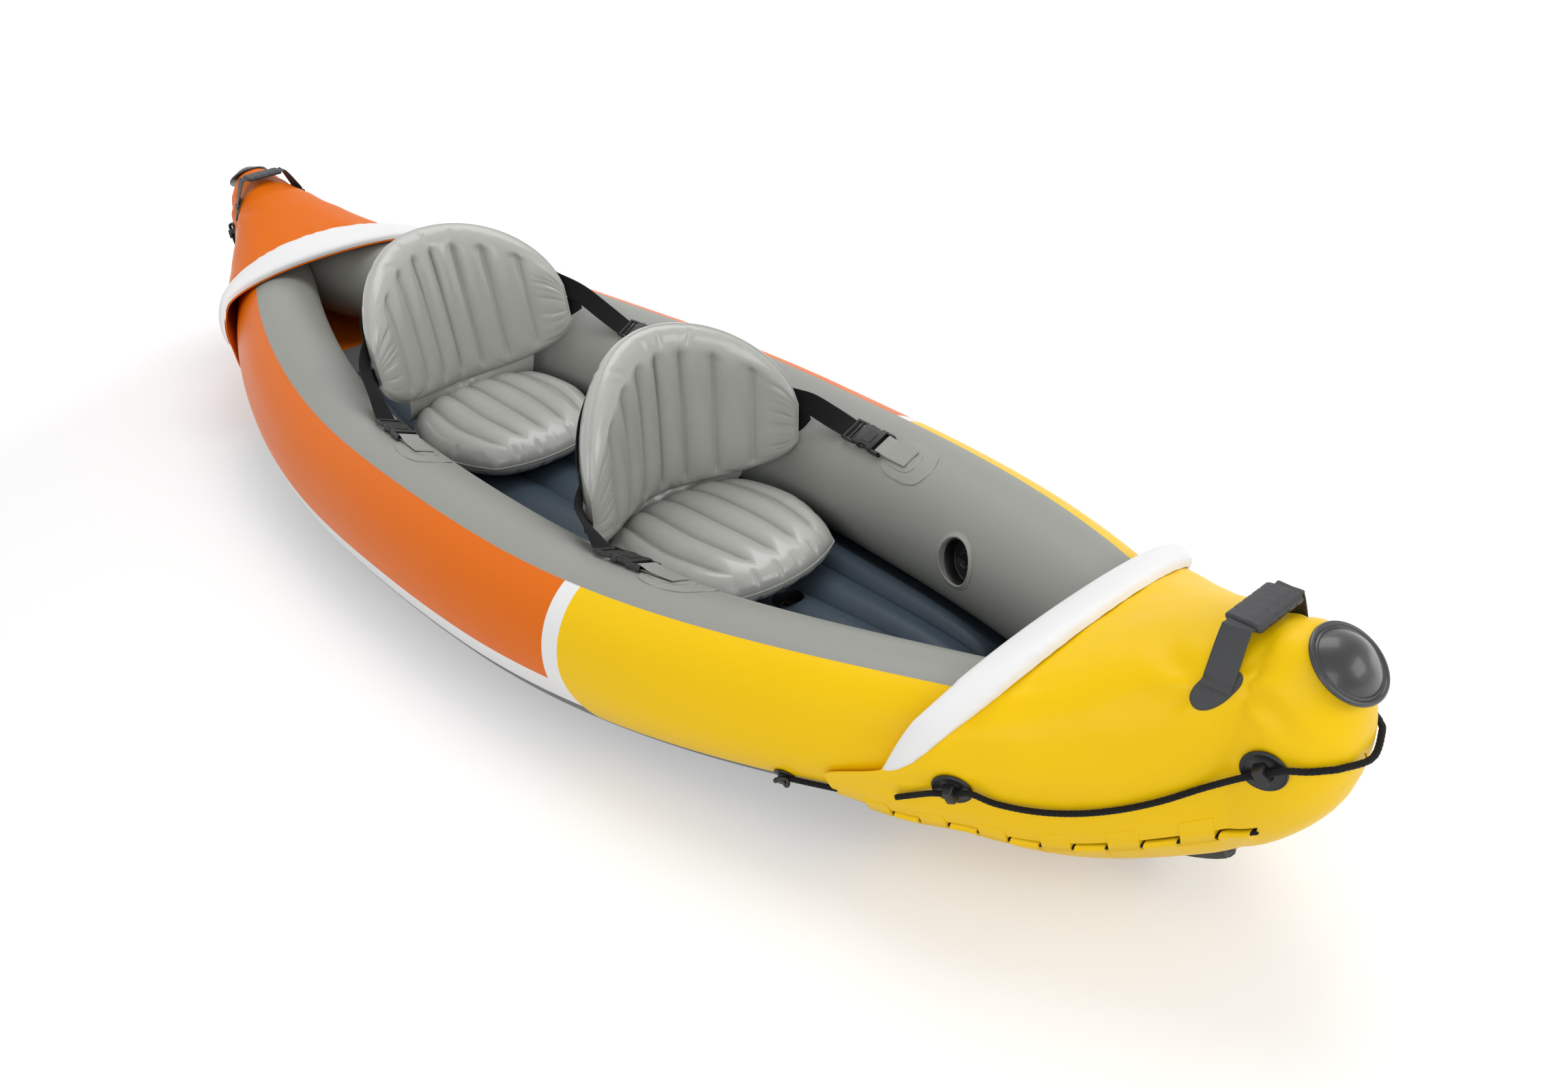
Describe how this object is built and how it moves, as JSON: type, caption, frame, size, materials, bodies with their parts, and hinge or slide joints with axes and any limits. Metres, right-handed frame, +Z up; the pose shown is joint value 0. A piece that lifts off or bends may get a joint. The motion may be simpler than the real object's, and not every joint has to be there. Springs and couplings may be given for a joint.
{
  "type": "inflatable tandem kayak",
  "caption": "Inflatable kayak with two side tubes, a channelled floor, laced end covers with puffed coamings, buckled fold-up seats, carrying handles, grab lines and a slide-in skeg.",
  "frame": {"origin": "amidships, on the ground under the flat bottom", "axes": "+X to the bow (the yellow end), +Y to port, +Z up"},
  "size_m": [3.036, 0.916, 0.4771],
  "materials": {
    "pvc_grey": "satin vinyl, light grey",
    "pvc_yellow": "satin vinyl, yellow",
    "pvc_orange": "satin vinyl, orange",
    "pvc_white": "satin vinyl, white",
    "floor_vinyl": "satin vinyl, dark blue-grey",
    "bottom_vinyl": "matte vinyl, dark grey",
    "rope": "braided, black",
    "webbing": "woven, black",
    "handle_vinyl": "matte, dark grey",
    "handle_rubber": "satin, dark grey",
    "nose_cap": "gloss, dark grey",
    "black_plastic": "moulded, black",
    "skeg_plastic": "moulded, dark grey"
  },
  "bodies": {
    "hull": {"port_tube": "pvc_grey", "starboard_tube": "pvc_grey", "floor": "floor_vinyl", "bottom_skin": "bottom_vinyl", "bow_keel_flap": "pvc_yellow", "stern_keel_flap": "pvc_orange", "bow_deck": "pvc_yellow", "stern_deck": "pvc_orange", "bow_coaming": "pvc_white", "stern_coaming": "pvc_white", "bow_lacing": "rope", "stern_lacing": "rope", "bow_deck_tabs": "pvc_yellow", "stern_deck_tabs": "pvc_orange", "bow_keel_tabs": "pvc_yellow", "stern_keel_tabs": "pvc_orange", "bow_nose_cap": "nose_cap", "stern_nose_cap": "nose_cap", "bow_handle_patches": "handle_vinyl", "stern_handle_patches": "handle_vinyl", "bow_handle_strap": "handle_vinyl", "stern_handle_strap": "handle_vinyl", "bow_handle_grip": "handle_rubber", "stern_handle_grip": "handle_rubber", "bow_rope_holders": "black_plastic", "stern_rope_holders": "black_plastic", "bow_line_ties": "black_plastic", "stern_line_ties": "black_plastic", "bow_grab_line": "rope", "stern_grab_line": "rope", "port_valve_seat": "black_plastic", "starboard_valve_seat": "black_plastic", "valve_collars": "pvc_grey", "floor_valve_seat": "black_plastic", "front_cushion": "pvc_grey", "rear_cushion": "pvc_grey", "anchor_patches": "pvc_grey", "anchor_tabs": "pvc_grey", "buckle_sockets": "black_plastic", "front_port_strap": "webbing", "front_starboard_strap": "webbing", "rear_port_strap": "webbing", "rear_starboard_strap": "webbing", "skeg_rail": "skeg_plastic"},
    "front_back": {"front_backrest": "pvc_grey", "front_seat_valve": "pvc_grey"},
    "rear_back": {"rear_backrest": "pvc_grey", "rear_seat_valve": "pvc_grey"},
    "front_port_clip": {"front_port_clip": "black_plastic"},
    "front_starboard_clip": {"front_starboard_clip": "black_plastic"},
    "rear_port_clip": {"rear_port_clip": "black_plastic"},
    "rear_starboard_clip": {"rear_starboard_clip": "black_plastic"},
    "port_valve_cap": {"port_valve_cap": "black_plastic"},
    "starboard_valve_cap": {"starboard_valve_cap": "black_plastic"},
    "floor_valve_cap": {"floor_valve_cap": "black_plastic"},
    "skeg": {"skeg": "skeg_plastic"}
  },
  "joints": [
    {"name": "front_backrest_fold", "type": "hinge", "parent": "hull", "child": "front_back", "pos_m": [0.185, 0, 0.1373], "axis": [0, 1, 0], "range_deg": [-30, 4], "deforming": ["front_port_strap", "front_starboard_strap"]},
    {"name": "rear_backrest_fold", "type": "hinge", "parent": "hull", "child": "rear_back", "pos_m": [-0.515, 0, 0.14891], "axis": [0, 1, 0], "range_deg": [-18, 14], "deforming": ["rear_port_strap", "rear_starboard_strap"]},
    {"name": "front_port_buckle", "type": "slide", "parent": "hull", "child": "front_port_clip", "axis": [-0.9904, 0.1294, -0.0491], "range_m": [0, 0.04], "deforming": ["front_port_strap"]},
    {"name": "front_starboard_buckle", "type": "slide", "parent": "hull", "child": "front_starboard_clip", "axis": [-0.9904, -0.1294, -0.0491], "range_m": [0, 0.04], "deforming": ["front_starboard_strap"]},
    {"name": "rear_port_buckle", "type": "slide", "parent": "hull", "child": "rear_port_clip", "axis": [-0.9986, -0.053, -0.0023], "range_m": [0, 0.04], "deforming": ["rear_port_strap"]},
    {"name": "rear_starboard_buckle", "type": "slide", "parent": "hull", "child": "rear_starboard_clip", "axis": [-0.9986, 0.053, -0.0023], "range_m": [0, 0.04], "deforming": ["rear_starboard_strap"]},
    {"name": "port_valve_plug", "type": "slide", "parent": "hull", "child": "port_valve_cap", "axis": [-0.2437, -0.941, 0.2346], "range_m": [0, 0.02]},
    {"name": "starboard_valve_plug", "type": "slide", "parent": "hull", "child": "starboard_valve_cap", "axis": [-0.2437, 0.941, 0.2346], "range_m": [0, 0.02]},
    {"name": "floor_valve_plug", "type": "slide", "parent": "hull", "child": "floor_valve_cap", "axis": [0, 0, 1], "range_m": [0, 0.012]},
    {"name": "skeg_slide", "type": "slide", "parent": "hull", "child": "skeg", "axis": [0.9429, 0, 0.3329], "range_m": [0, 0.15]}
  ]
}
